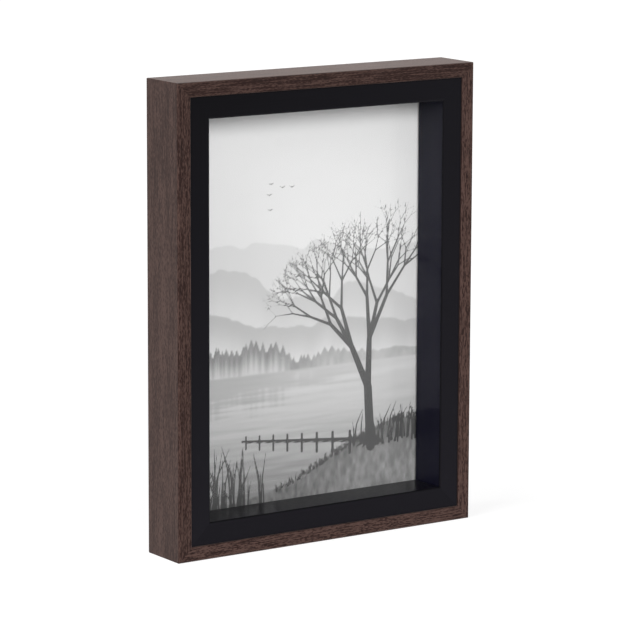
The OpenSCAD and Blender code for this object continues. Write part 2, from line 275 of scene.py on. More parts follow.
class Finish:
    """One procedural material or world, built node by node."""

    def __init__(self, name, owner=None):
        self.owner = owner or bpy.data.materials.new(name)
        self.owner.use_nodes = True
        self.tree = self.owner.node_tree
        self.tree.nodes.clear()

    @staticmethod
    def place(sockets, name):
        """A socket by its number, identifier or name."""
        if isinstance(name, int):
            return sockets[name]
        for socket in sockets:
            if socket.identifier == name:
                return socket
        return sockets[name]

    def add(self, kind, settings=None, sockets=None, output=0):
        """Adds a node with its settings, then fills or links its sockets."""
        node = self.tree.nodes.new(kind)
        node.location = (200 * len(self.tree.nodes), 0)
        for name, value in (settings or {}).items():
            setattr(node, name, value)
        for name, value in (sockets or {}).items():
            socket = self.place(node.inputs, name)
            if isinstance(value, Socket):
                self.tree.links.new(socket, value.socket)
            elif socket.type == "RGBA" and len(value) == 3:
                socket.default_value = opaque(value)
            else:
                socket.default_value = value
        outputs = node.outputs
        return Socket(self, self.place(outputs, output)) if len(outputs) else node

    def where(self):
        """The point on the surface, in the object's own metres."""
        return self.add("ShaderNodeTexCoord", output="Object")

    def parts(self, vector):
        """The three numbers of a vector."""
        first = self.add("ShaderNodeSeparateXYZ", sockets={0: vector})
        return [Socket(self, output) for output in first.socket.node.outputs]

    def light_path(self, *names):
        """What these outputs of the Light Path node say of the ray that arrives."""
        first = self.add("ShaderNodeLightPath")
        return [Socket(self, first.socket.node.outputs[name]) for name in names]

    def noise(self, vector, per_metre, detail=2.0, roughness=0.5, seed=0.0):
        """Noise from 0 to 1 with about per_metre marks a metre, one number or one for each axis."""
        moved = vector * per_metre + (seed, 0.37 * seed, 0.61 * seed)
        return self.add(
            "ShaderNodeTexNoise", {"noise_dimensions": "3D", "normalize": True},
            {"Vector": moved, "Scale": 1.0, "Detail": detail, "Roughness": roughness})

    def blend(self, factor, first, second):
        """first where the factor is 0 and second where it is 1."""
        return self.add(
            "ShaderNodeMix", {"data_type": "RGBA", "clamp_factor": True},
            {"Factor_Float": factor, "A_Color": first, "B_Color": second},
            output="Result_Color")

    def bump(self, height, strength, distance):
        return self.add(
            "ShaderNodeBump", sockets={"Strength": strength, "Distance": distance, "Height": height})

    def output(self, shader, kind="ShaderNodeOutputMaterial"):
        self.add(kind, sockets={"Surface": shader})
        return self.owner

    def surface(self, **sockets):
        """Principled surface; a word such as base_color names the socket Base Color."""
        spelt = {name.replace("_", " ").title().replace("Ior", "IOR"): value
                 for name, value in sockets.items()}
        return self.output(self.add("ShaderNodeBsdfPrincipled", sockets=spelt))


# ---------- surfaces ----------


def arc(centre, radius, start, end, steps=6):
    """Points at centre plus radius times the cosine and sine of evenly spaced angles, in degrees."""
    turn = np.radians(np.linspace(start, end, steps + 1))
    return np.column_stack((centre[0] + radius * np.cos(turn), centre[1] + radius * np.sin(turn)))


def run_length(points):
    """Distance along a line of points, from its first point to each."""
    steps = np.linalg.norm(np.diff(points, axis=0), axis=1)
    return np.concatenate(([0.0], np.cumsum(steps)))


def outward(profile):
    """Unit normals of a closed profile that is walked with its inside on the left."""
    along = np.roll(profile, -1, axis=0) - np.roll(profile, 1, axis=0)
    normals = np.column_stack((along[:, 1], -along[:, 0]))
    return normals / np.linalg.norm(normals, axis=1, keepdims=True)


def grid_faces(rows, columns, closed):
    """Quads of a grid of points stored row by row; a closed grid joins its last column to its first."""
    wide = columns if closed else columns - 1
    row, column = np.meshgrid(np.arange(rows - 1), np.arange(wide), indexing="ij")
    after = (column + 1) % columns
    corners = (row * columns + column, row * columns + after,
               (row + 1) * columns + after, (row + 1) * columns + column)
    return np.stack(corners, axis=-1).reshape(-1, 4)


def capped_faces(rings, count):
    """Faces of closed rings of count points each, with a cap on the first ring and the last."""
    faces = grid_faces(rings, count, closed=True).tolist()
    faces.append(list(range(count))[::-1])
    faces.append(list(range((rings - 1) * count, rings * count)))
    return faces


def make_piece(name, points, faces, body, finish, grain=None, sharp=35.0):
    """A piece from points and faces, smooth below the sharp angle, with its UV map in metres.

    Normals are weighted by the faces' areas, so flat faces shade flat between rounded edges.
    """
    mesh = bpy.data.meshes.new(name)
    mesh.from_pydata(points.tolist(), [], faces)
    mesh.polygons.foreach_set("use_smooth", np.ones(len(faces), bool))
    mesh.set_sharp_from_angle(angle=math.radians(sharp))
    if grain is not None:
        corner = np.empty(len(mesh.loops), np.int32)
        mesh.loops.foreach_get("vertex_index", corner)
        mesh.uv_layers.new(name="grain").data.foreach_set("uv", grain[corner].ravel())
    if mesh.validate():
        raise RuntimeError(f"{name} has broken faces")
    mesh.materials.append(finish)
    piece = bpy.data.objects.new(name, mesh)
    piece.modifiers.new("flat_faces", "WEIGHTED_NORMAL").keep_sharp = True
    bpy.context.scene.collection.objects.link(piece)
    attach(piece, body)
    return piece


def dress(finish, *nodes):
    """Gives CAD nodes that keep their own shape a finish."""
    for name in nodes:
        for place in frame["nodes"][name].material_slots:
            place.material = finish


# ---------- moulding ----------

RAIL_LIP = 1.2 * MM  # how far the wood's inner face runs back behind the slip's front
WELD_REACH = 0.001 * MM


def on_side(side, along, depth, inward):
    """Points of a side: along runs with its grain, depth to the back, inward from its outer edge."""
    middle = FRAME_H / 2
    placed = {
        "bottom": (along, depth, inward),
        "top": (-along, depth, FRAME_H - inward),
        "left": (inward - FRAME_W / 2, depth, middle - along),
        "right": (FRAME_W / 2 - inward, depth, middle + along),
    }[side]
    return np.stack(placed, axis=-1)


def side_length(side):
    return FRAME_W if side in ("bottom", "top") else FRAME_H


def mitred(side, profile, shown, groove):
    """A closed profile of depth and inward distance, carried along a side between two mitres.

    Along the side a point runs from minus to plus half the side's length less its own
    inward distance. At each end the shown points sink by the groove, along the profile's
    normals, so that a fine V marks the joint.
    """
    half = side_length(side) / 2
    reach = 3 * groove
    sunk = profile - groove * shown[:, None] * outward(profile)
    stations = (
        (sunk, sunk[:, 1] - half), (profile, profile[:, 1] + reach - half),
        (profile, half - reach - profile[:, 1]), (sunk, half - sunk[:, 1]),
    )
    points = np.concatenate([on_side(side, along, ring[:, 0], ring[:, 1])
                             for ring, along in stations])
    round_it = run_length(profile)
    grain = np.concatenate([np.column_stack((along, round_it)) for _, along in stations])
    return points, grain, capped_faces(len(stations), len(profile))


def rail_profile(sizes):
    """L-section of the outer moulding and the run length at which its back face starts."""
    outer, inner = sizes.rail_arris, sizes.rail_inner_arris
    front = np.concatenate((
        [(SLIP_Y + RAIL_LIP, RAIL_FACE)],
        arc((FRONT_Y + inner, RAIL_FACE - inner), inner, 90, 180, 5),
        arc((FRONT_Y + outer, outer), outer, 180, 270, 8),
        arc((BACK_Y - outer, outer), outer, 270, 360, 8),
    ))
    foot = [(BACK_Y, FOOT_W), (GLASS_Y, FOOT_W), (GLASS_Y, RAIL_FACE)]
    return np.concatenate((front, foot)), run_length(front)[-1]


def slip_profile(sizes):
    """Section of the slip: a stick with a softened sight edge, walked from its glued face."""
    sight, outer = sizes.slip_arris, sizes.slip_outer_arris
    inside = RAIL_FACE + SLIP_FACE
    return np.concatenate((
        [(SLIP_Y + 4 * MM, RAIL_FACE), (GLASS_Y, RAIL_FACE), (GLASS_Y, inside)],
        arc((SLIP_Y + sight, inside - sight), sight, 90, 180, 7),
        arc((SLIP_Y + outer, RAIL_FACE + outer), outer, 180, 270, 4),
    ))


def wedge_slots(sizes):
    """Cutting solids for the corner wedges: each wedge's chevron, taken through the back face."""
    leg, t, grow = sizes.wedge_leg, sizes.wedge_t, 0.02 * MM
    outline = np.array([(-grow, -grow), (leg + grow, -grow), (leg + grow, t + grow),
                        (t + grow, t + grow), (t + grow, leg + grow), (-grow, leg + grow)])
    floor_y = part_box("corner_wedges")[0][1]
    blocks, faces = [], []
    for right, top, point in [(r, t, p) for r in (-1, 1) for t in (-1, 1)
                              for p in (sizes.wedge_outer, sizes.wedge_inner)]:
        x = right * (FRAME_W / 2 - point - outline[:, 0])
        z = FRAME_H / 2 + top * (FRAME_H / 2 - point - outline[:, 1])
        walk = slice(None, None, -right * top)
        count = len(outline)
        first = 2 * count * len(blocks)
        faces += [[first + n for n in face] for face in capped_faces(2, count)]
        blocks.append(np.concatenate([
            np.column_stack((x, np.full(count, depth), z))[walk] for depth in (floor_y, BACK_Y + MM)]))
    mesh = bpy.data.meshes.new("wedge_slots")
    mesh.from_pydata(np.concatenate(blocks).tolist(), [], faces)
    cutter = bpy.data.objects.new("wedge_slots", mesh)
    bpy.context.scene.collection.objects.link(cutter)
    return cutter


def cut_away(piece, cutter):
    """Takes the cutter's room out of a piece and keeps the result as the piece's mesh."""
    step = piece.modifiers.new("slots", "BOOLEAN")
    step.operation, step.solver, step.object = "DIFFERENCE", "EXACT", cutter
    piece.modifiers.new("join_doubles", "WELD").merge_threshold = WELD_REACH
    piece.modifiers.move(0, len(piece.modifiers) - 1)
    depsgraph = bpy.context.evaluated_depsgraph_get()
    whole, cut = piece.data, bpy.data.meshes.new_from_object(piece.evaluated_get(depsgraph))
    piece.modifiers.clear()
    piece.data = cut
    bpy.data.meshes.remove(whole)


def wood_wrap(side, sizes, back_start):
    """Dark open-grained wood wrap: soft bands, fibres, short flecks and dark pores along the grain."""
    # Per side: seed, painted light as a lift of the light wood, its share and its contrast in front and
    # outside. The lighter right and bottom rails and the lighter top face of the top rail are painted
    # light, for how the lamps fall on them
    seed, painted_light_lift, share, outer_share, contrast, outer_contrast = {
        "left": (1.7, 1.0, 0.48, 0.48, 1.0, 1.0), "right": (5.2, 1.25, 0.62, 0.62, 1.2, 1.2),
        "top": (9.1, 1.0, 0.40, 0.85, 0.75, 2.2), "bottom": (13.4, 1.25, 0.60, 0.60, 1.2, 1.2),
    }[side]
    finish = Finish(f"wood_wrap_{side}")
    grain = finish.add("ShaderNodeUVMap", {"uv_map": "grain"})
    along, round_it, _ = finish.parts(grain)
    bands = finish.noise(grain, (60, 420, 0), 2.0, 0.5, seed)
    fibres = finish.noise(grain, (70, 2300, 0), 1.0, 0.5, seed + 3)
    flecks = finish.noise(grain, (640, 2300, 0), 1.0, 0.5, seed + 7)
    outer_face = round_it.between(RAIL_FACE + 1.5 * MM, RAIL_FACE + 2.5 * MM)
    patches = finish.noise(grain, (18, 150, 0), 2.0, 0.5, seed + 5)
    streaks = (fibres - 0.5) * 3.0 + (flecks - 0.5) * (1.2 + 4.0 * patches)
    # On the top rail the outer face takes a larger share of light wood: painted light on its top face
    share = share + (outer_share - share) * outer_face
    contrast = contrast + (outer_contrast - contrast) * outer_face
    share = share + contrast * ((bands - 0.5) * 0.6 + (patches - 0.5) * outer_face
                                + streaks * (1 - 0.4 * outer_face))
    wood = finish.blend(share.between(0.0, 1.0), sizes.wood_dark, tint(sizes.wood_light, painted_light_lift))
    dashes = finish.noise(grain, (150, 2500, 0), 1.0, 0.5, seed + 11)
    pores = dashes.between(0.60, 0.70) * (1 - 0.5 * outer_face)
    # Painted shade: the wood's inner face and arris beside the slip are darkened towards the pore colour
    gap_shade = 1 - round_it.between(1.5 * MM, 1.9 * MM)
    wood = finish.blend((pores * 0.8).greatest(gap_shade * 0.8), wood, sizes.wood_pore_and_shade)
    speckle = finish.noise(finish.where(), 1500, 4.0, 0.7, seed)
    raw = finish.blend(speckle, tint(sizes.raw_fibre, 0.62), tint(sizes.raw_fibre, 1.25))
    ragged = finish.noise(grain, (900, 0, 0), 3.0, 0.6, seed + 17)
    lap_end = back_start + sizes.wrap_lap
    bare = (round_it + (ragged - 0.5) * (0.6 * MM)).between(lap_end - 0.05 * MM, lap_end + 0.05 * MM)
    to_mitre = side_length(side) / 2 - (round_it - (back_start - sizes.rail_arris)
                                        + along.maths("ABSOLUTE"))
    joint = round_it.between(back_start - 0.1 * MM, back_start) * (
        1 - to_mitre.between(0.05 * MM, 0.15 * MM))
    height = fibres * 0.6 + flecks * 0.3 - pores * 1.4
    return finish.surface(
        base_color=finish.blend(joint * 0.8, finish.blend(bare, wood, raw), sizes.wood_pore_and_shade),
        roughness=0.50 + (fibres - 0.5) * 0.2 + bare * 0.35,
        specular_ior_level=0.09,
        sheen_weight=0.12, sheen_roughness=0.5, sheen_tint=(1.0, 0.83, 0.77),
        normal=finish.bump(height * (1 - bare) + speckle * bare, 0.5, 0.04 * MM))


def slip_lacquer(side, sizes):
    """Black lacquer over close-grained wood: satin in front, glossier on the sight wall."""
    finish = Finish(f"slip_lacquer_{side}")
    grain = finish.add("ShaderNodeUVMap", {"uv_map": "grain"})
    _, round_it, _ = finish.parts(grain)
    fibres = finish.noise(grain, (40, 2400, 0), 3.0, 0.6, 2.3)
    orange_peel = finish.noise(finish.where(), 500, 2.0, 0.5, 5.1)
    wall_start, wall_end, face_start = run_length(slip_profile(sizes))[[2, 3, 10]]
    wall = round_it.between(wall_start - 0.1 * MM, wall_start) * (
        1 - round_it.between(wall_end - 0.2 * MM, wall_end + 0.1 * MM))
    face = round_it.between(face_start - 0.4 * MM, face_start + 0.1 * MM)
    # Per side: painted light as shares of colour on the face, sight wall and arris, and the gloss of
    # wall and arris. The top wall and the floor of the opening are painted darker, the top arris carries
    # a painted highlight and the right and bottom arrises carry painted shade
    painted_face_level, painted_wall_level, painted_edge_level, wall_gloss, edge_gloss = {
        "left": (1.8, 1.0, 1.0, 0.26, 0.0), "right": (1.8, 0.9, 0.4, 0.26, 0.0),
        "top": (1.8, 0.4, 1.4, 0.26, 0.12), "bottom": (1.4, 0.2, 0.3, 0.42, 0.0),
    }[side]
    # Painted light: the slip's colour is darker towards the top, most at the left, and lighter towards
    # the bottom and the right, as the light falls on it
    across, _, height = finish.parts(finish.where())
    painted_light_share = 1 - height / FRAME_H * (0.67 - across / FRAME_W * 0.39)
    shade = finish.blend(painted_light_share, (0.0, 0.0, 0.0), tint(sizes.lacquer, painted_face_level))
    shade = finish.blend(wall, shade, tint(sizes.wall_lacquer_and_reflection, painted_wall_level))
    edge = (1 - wall) * (1 - face)
    shade = finish.blend(edge, shade, tint(sizes.lacquer, painted_edge_level))
    return finish.surface(
        base_color=finish.blend(fibres * 0.5, shade, tint(sizes.lacquer, 1.6)),
        roughness=0.42 + (orange_peel - 0.5) * 0.1,
        specular_ior_level=0.05,
        coat_weight=edge_gloss * edge + wall_gloss * wall, coat_roughness=0.07, coat_ior=1.5,
        normal=finish.bump(fibres * 0.6 + orange_peel * 0.4, 0.25, 0.02 * MM))


class PICTURE_FRAME_OT_rails(bpy.types.Operator):
    """Carry the wood-wrapped outer moulding round its four mitred sides"""

    bl_idname = "picture_frame.rails"
    bl_label = "Outer Rails"

    def execute(self, context):
        sizes = context.scene.picture_frame.moulding
        profile, back_start = rail_profile(sizes)
        shown = np.ones(len(profile))
        shown[[0, -4, -3, -2, -1]] = 0
        cutter = wedge_slots(sizes)
        for side in SIDES:
            points, grain, faces = mitred(side, profile, shown, sizes.mitre_groove)
            rail = make_piece(f"rail_{side}", points, faces, "frame",
                              wood_wrap(side, sizes, back_start), grain)
            cut_away(rail, cutter)
            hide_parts(f"outer_rail_{side}")
        bpy.data.objects.remove(cutter)
        return {"FINISHED"}


class PICTURE_FRAME_OT_slips(bpy.types.Operator):
    """Carry the black slip round the sight opening"""

    bl_idname = "picture_frame.slips"
    bl_label = "Slips"

    def execute(self, context):
        sizes = context.scene.picture_frame.moulding
        profile = slip_profile(sizes)
        shown = np.ones(len(profile))
        shown[:3] = 0
        for side in SIDES:
            points, grain, faces = mitred(side, profile, shown, sizes.mitre_groove)
            slip = make_piece(f"slip_stick_{side}", points, faces, "frame",
                              slip_lacquer(side, sizes), grain)
            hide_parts(f"slip_{side}")
        return {"FINISHED"}


# ---------- picture ----------


# Places in the printed picture, in millimetres from the middle of its lower edge
SHORE_Z = 60.0
TREE_FOOT = (36.0, 22.0)
TREE_HEIGHT = 112.0

SCREEN_GAMMA = 2.2
PRINT_GAP = 0.03 * MM  # air between the glass and the print


def smooth(low, high, values):
    """0 below low, 1 above high and a smooth step between."""
    share = np.clip((values - low) / (high - low), 0, 1)
    return share * share * (3 - 2 * share)


def ridge(rng, x, step, height, octaves=5):
    """A skyline: random heights every step joined by smooth steps, with finer ones added."""
    line = np.zeros_like(x)
    for octave in range(octaves):
        place = x / step * 2**octave + 50
        cell = np.floor(place).astype(int)
        table = rng.uniform(-1, 1, cell.max() + 3)
        share = smooth(0, 1, place - cell)
        line += height / 1.9**octave * (table[cell] * (1 - share) + table[cell + 1] * share)
    return line


def drift(rng, x, z, step_x, step_z, octaves=4):
    """Soft patches: random values on a grid joined by smooth steps, with finer ones added."""
    patches = np.zeros_like(x)
    for octave in range(octaves):
        across, up = x / step_x * 2**octave + 20, z / step_z * 2**octave + 20
        i, j = np.floor(across).astype(int), np.floor(up).astype(int)
        table = rng.uniform(-1, 1, (i.max() + 2, j.max() + 2))
        s, t = smooth(0, 1, across - i), smooth(0, 1, up - j)
        low = table[i, j] * (1 - s) + table[i + 1, j] * s
        high = table[i, j + 1] * (1 - s) + table[i + 1, j + 1] * s
        patches += (low * (1 - t) + high * t) / 2**octave
    return patches


def conifers(rng, x, spacing, tallest):
    """Tops of a row of firs: the greatest of many narrow triangles at random places."""
    places = np.arange(x.min() - spacing, x.max() + spacing, spacing)
    places = places + rng.uniform(-0.5, 0.5, len(places)) * spacing
    heights = tallest * rng.uniform(0.35, 1.0, len(places))
    slopes = rng.uniform(2.2, 3.4, len(places))
    tops = heights[:, None] - slopes[:, None] * np.abs(x[None, :] - places[:, None])
    return np.maximum(tops.max(axis=0), 0.2 * tallest)


def strokes(x1, z1, x2, z2, start, end):
    """Straight marks from one point to another that taper from one half width to another."""
    return np.column_stack(np.broadcast_arrays(x1, z1, x2, z2, start, end))


def bare_tree(rng, foot, height):
    """Tapered limbs of a leafless tree: each level forks from the tips of the one before."""
    start = np.array([foot])
    lean = np.array([-0.06])
    length, thick = height * 0.30, height * 0.021
    limbs = []
    for level in range(8):
        reach = length * rng.uniform(0.75, 1.15, len(start))
        tip = start + reach[:, None] * np.column_stack((np.sin(lean), np.cos(lean)))
        thin = thick * (0.78 if level else 0.9)
        limbs.append(strokes(*start.T, *tip.T, thick, thin))
        forks = 3 if level in (1, 3) else 2
        spread = np.linspace(-0.5, 0.5, forks)[None, :] * (0.75 if level else 0.5)
        lean = (lean[:, None] + spread + rng.normal(0, 0.2, (len(start), forks))).ravel() * 0.94
        start = np.repeat(tip, forks, axis=0)
        length, thick = length * 0.74, thin * 0.80
    return np.concatenate(limbs)


def bank_top(x):
    """Height of the near bank: low at the left, rising to the right."""
    return 6 + 27 * smooth(-30, 58, x)


def jetty_and_reeds(rng):
    """Straight marks: a landing stage on posts, reeds in two clumps, grass, roots and a few birds."""
    share = np.linspace(0.09, 1, 8) ** 0.85
    post_x, deck_z = 33 - 62 * share, 25.5 + 6 * share
    size = 1 - 0.45 * share
    deck = [(36, 25.2, -31, 31.6, 0.75, 0.40), (36, 24.0, -31, 30.9, 0.30, 0.16)]
    posts = strokes(post_x, deck_z - 6.5 * size, post_x, deck_z + 3.6 * size, 0.75 * size, 0.7 * size)
    clumps = []
    for middle, spread, count, tallest in ((-42, 9, 70, 30), (52, 12, 60, 16)):
        x = rng.normal(middle, spread, count)
        height = tallest * rng.uniform(0.35, 1.0, count)
        foot = np.where(middle < 0, -2.0, 22.0) + rng.uniform(0, 3, count)
        bend = rng.normal(0, 0.16, count) * height
        knee_x, knee_z = x + 0.35 * bend, foot + 0.6 * height
        clumps.append(strokes(x, foot, knee_x, knee_z, 0.42, 0.32))
        clumps.append(strokes(knee_x, knee_z, x + bend, foot + height, 0.32, 0.14))
    x, lean = np.sort(rng.uniform(-14, 61, 260)), rng.normal(0, 0.5, 260)
    foot = bank_top(x) - rng.uniform(0, 1.5, 260)
    grass = strokes(x, foot, x + lean, foot + rng.uniform(1.2, 3.4, 260), 0.24, 0.10)
    reach = np.linspace(-7, 7, 6)
    tree_x, tree_z = TREE_FOOT
    roots = strokes(tree_x + 0.25 * reach, tree_z + 3.5, tree_x + reach,
                    tree_z - 1.5 + 0.3 * np.abs(reach), 1.5, 0.25)
    x, z = rng.uniform(-30, -4, 5), rng.uniform(128, 146, 5)
    wings = [strokes(x, z, x + side * 1.5, z + 0.7, 0.26, 0.12) for side in (-1, 1)]
    return np.concatenate((deck, posts, *clumps, grass, roots, *wings))


def nearest_mark(x, z, marks):
    """Distance from each point to the nearest tapered mark, less the mark's half width there."""
    gap = np.full(x.shape, 2.0)
    for x1, z1, x2, z2, start, end in marks:
        reach = max(start, end) + 1.6
        left, right = np.searchsorted(x[0], (min(x1, x2) - reach, max(x1, x2) + reach))
        low, high = np.searchsorted(z[:, 0], (min(z1, z2) - reach, max(z1, z2) + reach))
        near = np.s_[low:high, left:right]
        along = ((x[near] - x1) * (x2 - x1) + (z[near] - z1) * (z2 - z1)) / (
            (x2 - x1) ** 2 + (z2 - z1) ** 2)
        along = np.clip(along, 0, 1)
        away = np.hypot(x[near] - x1 - along * (x2 - x1), z[near] - z1 - along * (z2 - z1))
        gap[near] = np.minimum(gap[near], away - start - along * (end - start))
    return gap


def over(under, layer, cover):
    """A tone with a layer over it where the cover is 1."""
    return under * (1 - cover) + layer * cover


def misty_lake(rng, x, z):
    """Tones from 0 to 1: mist over ridges, firs on a far shore, rippled water and a near bank."""
    line = x[0]
    tone = 0.885 - 0.005 * smooth(120, 178, z) + 0.008 * drift(rng, x, z, 60, 30)
    ridges = ((112, 0.00, 42, 7.0, 0.83, 30), (96, -0.16, 30, 6.0, 0.76, 26),
              (80, -0.10, 24, 4.0, 0.71, 20))
    for height, slope, step, rough, dark, fade in ridges:
        crest = height + slope * line + ridge(rng, line, step, rough)
        below = crest[None, :] - z
        layer = dark + (0.84 - dark) * smooth(0, fade, below)
        tone = over(tone, layer, smooth(-0.5, 0.5, below))
    wood = SHORE_Z + 2 + 7 * smooth(30, -60, line) + ridge(rng, line, 20, 2.0, 3)
    firs = wood + conifers(rng, line, 2.3, 8.0) * smooth(70, -30, line)
    below = firs[None, :] - z
    dark = 0.52 + 0.17 * smooth(-45, 45, x) + 0.03 * drift(rng, x, z, 3, 5)
    layer = dark + (0.77 - dark) * smooth(1, 13, below)
    tone = over(tone, layer, smooth(-0.4, 0.4, below))
    ripple = drift(rng, x, z, 26, 1.3)
    water = 0.77 - 0.22 * smooth(SHORE_Z, 0, z) + ripple * (0.014 + 0.04 * smooth(SHORE_Z, 0, z))
    mirrored = (2 * SHORE_Z - z) - firs[None, :]
    water = water - 0.09 * (1 - smooth(-4, 5, mirrored + 5 * ripple)) * smooth(60, -40, x)
    tone = over(tone, water, smooth(0.3, -0.3, z - SHORE_Z))
    bank = bank_top(line) + ridge(rng, line, 12, 1.2)
    grass = 0.44 + 0.06 * drift(rng, x, z, 1.6, 4) + 0.10 * smooth(0, 24, bank[None, :] - z)
    return over(tone, grass, smooth(-0.5, 0.5, bank[None, :] - z))


def print_sheet(settings):
    """The print as a closed thin sheet: a grid in front, a rim and a back.

    Each point carries a tone, its distance in millimetres from the nearest dark mark,
    and the tone that a dark mark has there.
    """
    rng = np.random.default_rng(settings.seed)
    width, height = PRINT_HIGH[0] - PRINT_LOW[0], PRINT_HIGH[2] - PRINT_LOW[2]
    columns = round(width / settings.spacing) + 1
    rows = round(height / settings.spacing) + 1
    across, up = np.linspace(-width / 2, width / 2, columns), np.linspace(0, height, rows)
    x, z = np.meshgrid(across / MM, up / MM)
    tone = misty_lake(rng, x, z)
    marks = np.concatenate((bare_tree(rng, TREE_FOOT, TREE_HEIGHT), jetty_and_reeds(rng)))
    gap = nearest_mark(x, z, marks)
    ink = 0.28 + 0.16 * smooth(10, 150, z)
    front = np.column_stack(((x * MM).ravel(), np.full(x.size, PRINT_LOW[1] + PRINT_GAP),
                             (z * MM + PRINT_LOW[2]).ravel()))
    index = np.arange(x.size).reshape(x.shape)
    rim = np.concatenate((index[0, :-1], index[:-1, -1], index[-1, :0:-1], index[:0:-1, 0]))
    back = front[rim] + (0, PRINT_HIGH[1] - front[0, 1], 0)
    points = np.concatenate((front, back))
    behind = x.size + np.arange(len(rim))
    walls = np.column_stack((np.roll(rim, -1), rim, behind, np.roll(behind, -1)))
    faces = grid_faces(rows, columns, closed=False).tolist() + walls.tolist()
    faces.append(behind[::-1].tolist())
    fill = np.zeros(len(rim))
    tones = {
        "tone": np.concatenate((tone.ravel() ** SCREEN_GAMMA, fill + 0.8)),
        "mark_gap": np.concatenate((gap.ravel(), fill + 2.0)),
        "mark_tone": np.concatenate((ink.ravel() ** SCREEN_GAMMA, fill)),
    }
    return points, faces, tones


def print_paper(settings):
    """Semi-matt photographic paper that shows the points' tones, with fine film grain."""
    finish = Finish("print_paper")
    tone, gap, dark = [finish.add("ShaderNodeAttribute", {"attribute_name": name}, output="Fac")
                       for name in ("tone", "mark_gap", "mark_tone")]
    where = finish.where()
    grain = finish.noise(where, 2600, 2.0, 0.6, 3.3)
    mark = 1 - gap.between(-settings.ink_edge / 2, settings.ink_edge / 2)
    grey = tone + (dark - tone) * mark
    grey = grey * (0.93 + 0.14 * grain)
    return finish.surface(
        base_color=grey, roughness=0.42 + 0.1 * grain, specular_ior_level=0.3,
        normal=finish.bump(grain, 0.15, 0.01 * MM))


def clear_glass(settings):
    """Float glass with a barely uneven face, which lets lamp light straight through."""
    finish = Finish("clear_glass")
    shadow, scattered = finish.light_path("Is Shadow Ray", "Is Diffuse Ray")
    unevenness = finish.noise(finish.where(), 9, 1.0, 0.5, 8.8)
    glass = finish.add("ShaderNodeBsdfGlass", sockets={
        "Color": (0.99, 0.99, 0.99), "Roughness": 0.0, "IOR": settings.glass_ior,
        "Normal": finish.bump(unevenness, 0.05, 0.02 * MM)})
    open_way = finish.add("ShaderNodeBsdfTransparent")
    return finish.output(finish.add("ShaderNodeMixShader", sockets={
        0: shadow.greatest(scattered), 1: glass, 2: open_way}))


class PICTURE_FRAME_OT_picture(bpy.types.Operator):
    """Lay the print behind the glass"""

    bl_idname = "picture_frame.picture"
    bl_label = "Print and Glass"

    def execute(self, context):
        settings = context.scene.picture_frame.picture
        points, faces, tones = print_sheet(settings)
        sheet = make_piece("misty_lake_print", points, faces, "frame",
                           print_paper(settings), sharp=60.0)
        for name, values in tones.items():
            layer = sheet.data.attributes.new(name, "FLOAT", "POINT")
            layer.data.foreach_set("value", values.astype(np.float32))
        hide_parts("photo_print")
        dress(clear_glass(settings), "glass_pane")
        return {"FINISHED"}


# ---------- boards and hardware at the back ----------


def faced_board(name, low, high, sizes):
    """Black-faced fibreboard: fine leathery facing on both faces and bare brown edges."""
    finish = Finish(name)
    where = finish.where()
    _, depth, _ = finish.parts(where)
    half = (high[1] - low[1]) / 2
    from_middle = (depth - (low[1] + half)).maths("ABSOLUTE")
    face = from_middle.between(half - 0.08 * MM, half - 0.03 * MM)
    pebble = finish.noise(where, 1400, 3.0, 0.55, 1.1)
    cloud = finish.noise(where, 45, 3.0, 0.6, 4.2)
    fibre = finish.noise(where, (900, 5200, 900), 3.0, 0.7, 6.0)
    facing = finish.blend(pebble * 0.6 + cloud * 0.4, tint(sizes.board, 0.7), tint(sizes.board, 1.5))
    edge = finish.blend(fibre, tint(sizes.board_edge, 0.6), tint(sizes.board_edge, 1.4))
    return finish.surface(
        base_color=finish.blend(face, edge, facing),
        roughness=0.85 - 0.30 * face + 0.1 * (cloud - 0.5),
        specular_ior_level=0.3,
        normal=finish.bump(pebble * face + fibre * (1 - face), 0.35, 0.05 * MM))


def grey_card(sizes):
    """Recycled card, flecked with darker and lighter fibres."""
    finish = Finish("grey_card")
    where = finish.where()
    flecks = finish.noise(where, 1900, 3.0, 0.7, 2.0)
    cloud = finish.noise(where, 70, 2.0, 0.5, 3.0)
    shade = finish.blend(flecks * 0.7 + cloud * 0.3, tint(sizes.card, 0.6), tint(sizes.card, 1.35))
    return finish.surface(base_color=shade, roughness=0.85 + 0.1 * (cloud - 0.5),
                          normal=finish.bump(flecks, 0.3, 0.05 * MM))


def plated_steel(name, colour, brushing, dull):
    """Plated steel: the plating's own colour, faint clouds, rolling lines and dull patches."""
    finish = Finish(name)
    where = finish.where()
    cloud = finish.noise(where, 180, 2.0, 0.5, 7.7)
    lines = finish.noise(where, brushing, 1.0, 0.5, 2.9)
    shade = finish.blend(cloud * 0.5 + lines * 0.5, tint(colour, 0.72), tint(colour, 1.2))
    return finish.surface(
        base_color=shade, metallic=1.0,
        roughness=dull + 0.12 * (cloud - 0.5) + 0.08 * (lines - 0.5),
        normal=finish.bump(lines, 0.1, 0.01 * MM))


def button_outline(head, tip, distance):
    """Two discs joined by their common tangents, walked anticlockwise from the large one's top."""
    lean = math.degrees(math.acos((head - tip) / distance))
    return np.concatenate((arc((0, 0), head, lean, 360 - lean, 36),
                           arc((distance, 0), tip, -lean, lean, 20)))


